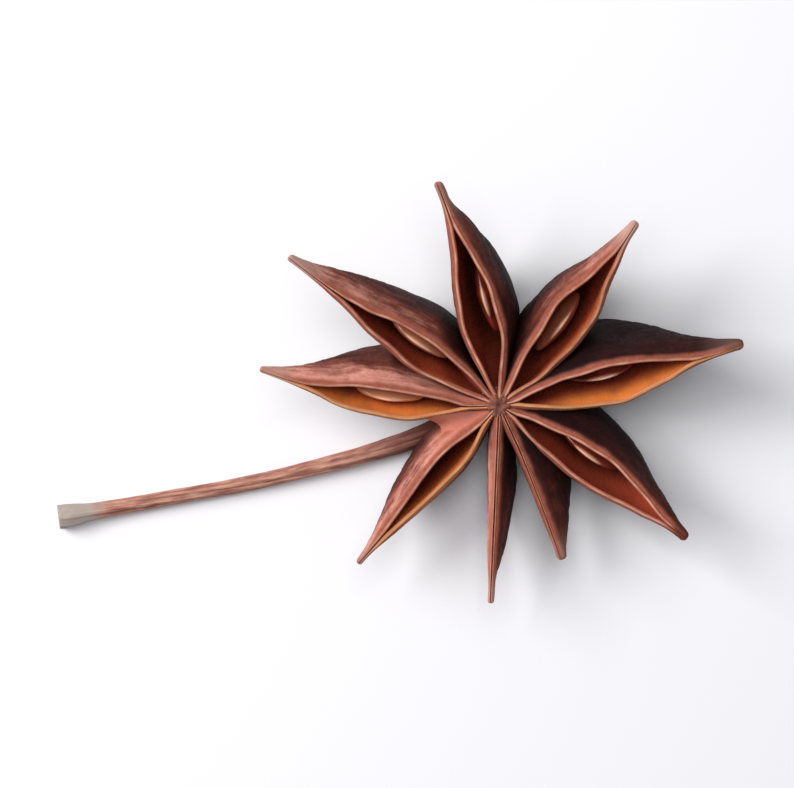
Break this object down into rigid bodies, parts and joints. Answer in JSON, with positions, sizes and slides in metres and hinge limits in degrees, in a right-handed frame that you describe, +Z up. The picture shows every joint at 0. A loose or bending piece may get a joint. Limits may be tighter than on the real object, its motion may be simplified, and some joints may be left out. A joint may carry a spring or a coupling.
{
  "type": "star anise pod",
  "caption": "Dried star-shaped spice pod of boat-shaped woody carpels split open over glossy seeds, lying face up with its curved stalk attached.",
  "frame": {"origin": "middle of the footprint on the surface it lies on, halfway between the stalk's broken end and the tip of the carpel across from it", "axes": "+X away from the stalk's broken end, +Z up out of the open face, which leans a little towards -Y"},
  "size_m": [0.058, 0.0354, 0.0129],
  "materials": {
    "husk": "dry woody pod wall, matt and wrinkled outside, smooth and slightly glossy inside",
    "seed_coat": "hard seed coat, polished reddish brown"
  },
  "bodies": {
    "root": {"pod": "husk", "seed_west": "seed_coat", "seed_northwest": "seed_coat", "seed_north": "seed_coat", "seed_northeast": "seed_coat", "seed_east": "seed_coat", "seed_southeast": "seed_coat"}
  },
  "joints": []
}
